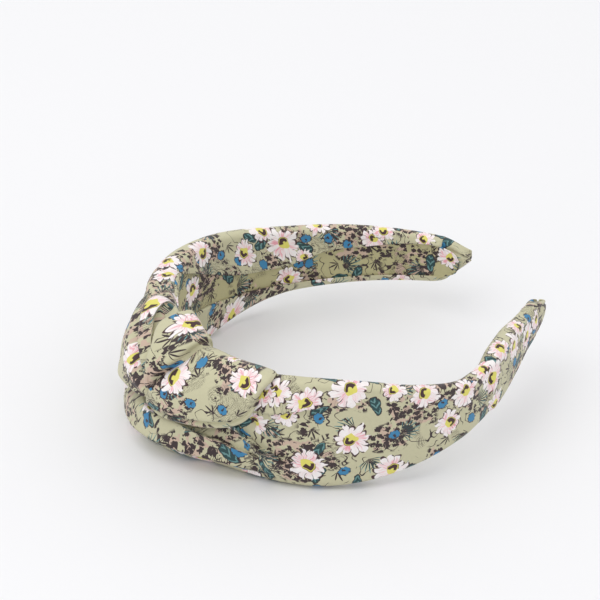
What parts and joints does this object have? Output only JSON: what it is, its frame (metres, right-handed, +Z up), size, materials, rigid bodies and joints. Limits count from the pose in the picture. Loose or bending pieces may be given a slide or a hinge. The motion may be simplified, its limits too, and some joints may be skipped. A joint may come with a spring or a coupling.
{
  "type": "knotted headband",
  "caption": "Wide hair band with a flexible C-shaped hoop wrapped in soft printed cloth, tapering arms and a large soft knot at the crown.",
  "frame": {"origin": "middle of the footprint, on the surface that the band's lower edge lies on", "axes": "+X from the knot to the open end, +Y to the far arm, +Z up, across the band's width"},
  "size_m": [0.1666, 0.1374, 0.0506],
  "materials": {
    "printed_cloth": "soft satin weave, sage ground with a small daisy print",
    "lining_cloth": "the same cloth, flat and glued, a little darker",
    "hoop_plastic": "matt moulded",
    "tack_thread": "matt spun thread"
  },
  "bodies": {
    "crown": {"hoop_crown": "hoop_plastic", "cover_crown": "printed_cloth", "lining_crown": "lining_cloth", "knot_core": "printed_cloth", "knot_tacks": "tack_thread", "knot_wrap": "printed_cloth", "knot_flap": "printed_cloth", "knot_under_fold": "printed_cloth"},
    "far_arm": {"hoop_far_arm": "hoop_plastic", "cover_far": "printed_cloth", "lining_far": "lining_cloth", "end_fold_far": "printed_cloth"},
    "near_arm": {"hoop_near_arm": "hoop_plastic", "cover_near": "printed_cloth", "lining_near": "lining_cloth", "end_fold_near": "printed_cloth"}
  },
  "joints": [
    {"name": "far_flex", "type": "hinge", "parent": "crown", "child": "far_arm", "pos_m": [-0.04918, 0.03704, 0.024], "axis": [0, 0, 1], "range_deg": [-2, 10], "stiffness_Nm_per_rad": 0.7},
    {"name": "near_flex", "type": "hinge", "parent": "crown", "child": "near_arm", "pos_m": [-0.04918, -0.03704, 0.024], "axis": [0, 0, -1], "range_deg": [-2, 10], "stiffness_Nm_per_rad": 0.7}
  ]
}
